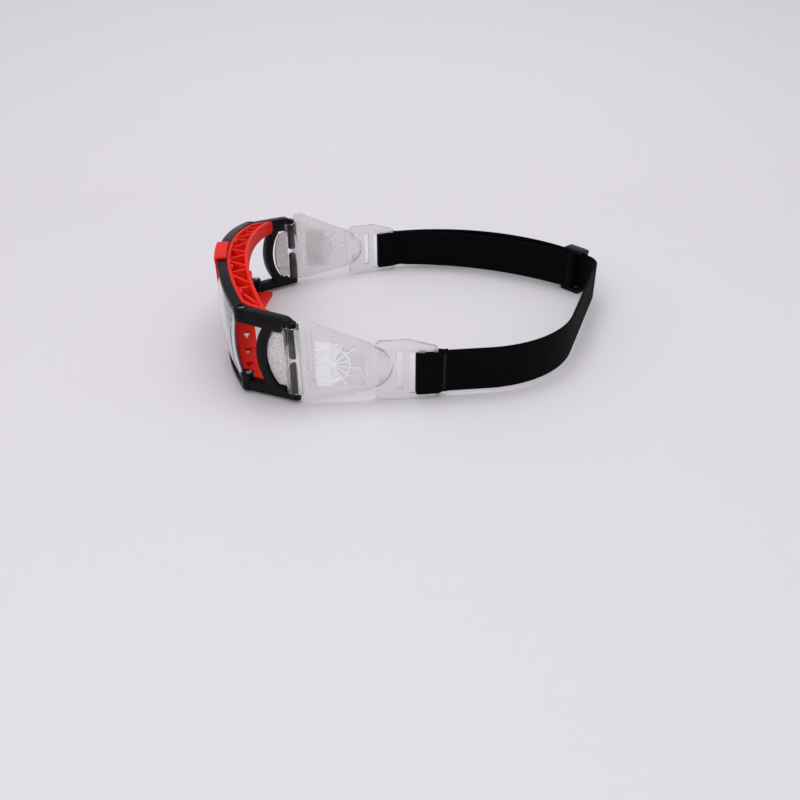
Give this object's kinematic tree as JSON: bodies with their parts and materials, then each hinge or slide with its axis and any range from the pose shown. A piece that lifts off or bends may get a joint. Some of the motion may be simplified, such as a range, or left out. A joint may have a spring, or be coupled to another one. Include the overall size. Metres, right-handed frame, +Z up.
{
  "type": "sports protective goggles",
  "caption": "Wrap-around sports goggles with a padded liner, clear lenses, hinged clear temples and an elastic strap with a slider.",
  "frame": {"origin": "on the resting plane, midway between the two temple hinge axes", "axes": "+Z up along the hinge axes, lenses face -Y, strap at +Y, wearer's left at +X"},
  "size_m": [0.1678, 0.2136, 0.0509],
  "materials": {
    "black_nylon": "moulded, soft gloss",
    "red_rubber": "moulded thermoplastic rubber, satin",
    "clear_lens": "polished polycarbonate with a purple anti-reflection coat",
    "clear_plastic": "moulded polycarbonate, slightly frosted",
    "webbing": "woven elastic",
    "thread": "polyester thread",
    "screw_steel": "turned"
  },
  "bodies": {
    "front": {"front_frame": "black_nylon", "bridge_cover": "red_rubber", "brow_liner": "red_rubber", "cheek_liner": "red_rubber", "liner_studs": "red_rubber", "lens_left": "clear_lens", "lens_right": "clear_lens", "lens_clip_left": "black_nylon", "lens_clip_right": "black_nylon", "upper_lens_screws": "screw_steel", "lower_lens_screws": "screw_steel", "strap_left_run": "webbing", "strap_back_run": "webbing", "strap_right_run": "webbing", "strap_return_layer": "webbing"},
    "left_temple": {"temple_left": "clear_plastic"},
    "right_temple": {"temple_right": "clear_plastic"},
    "left_connector": {"connector_left": "clear_plastic", "strap_fold_left": "webbing", "stitching_left": "thread"},
    "right_connector": {"connector_right": "clear_plastic", "strap_fold_right": "webbing", "stitching_right": "thread"},
    "slider": {"slider": "black_nylon", "strap_end_loop": "webbing"}
  },
  "joints": [
    {"name": "left_temple_hinge", "type": "hinge", "parent": "front", "child": "left_temple", "pos_m": [0.07, 0, 0.022], "axis": [0, 0, 1], "range_deg": [-12, 30]},
    {"name": "right_temple_hinge", "type": "hinge", "parent": "front", "child": "right_temple", "pos_m": [-0.07, 0, 0.022], "axis": [0, 0, -1], "range_deg": [-2, 40]},
    {"name": "left_connector_pivot", "type": "hinge", "parent": "left_temple", "child": "left_connector", "pos_m": [0.07285, 0.0395, 0.018], "axis": [0, 0, 1], "range_deg": [-12, 15]},
    {"name": "right_connector_pivot", "type": "hinge", "parent": "right_temple", "child": "right_connector", "pos_m": [-0.08232, 0.03764, 0.018], "axis": [0, 0, -1], "range_deg": [-12, 15]},
    {"name": "slider_travel", "type": "hinge", "parent": "front", "child": "slider", "pos_m": [0.01424, 0.08015, 0.0134], "axis": [0, 0, 1], "range_deg": [0, 24], "deforming": ["strap_return_layer"]}
  ]
}
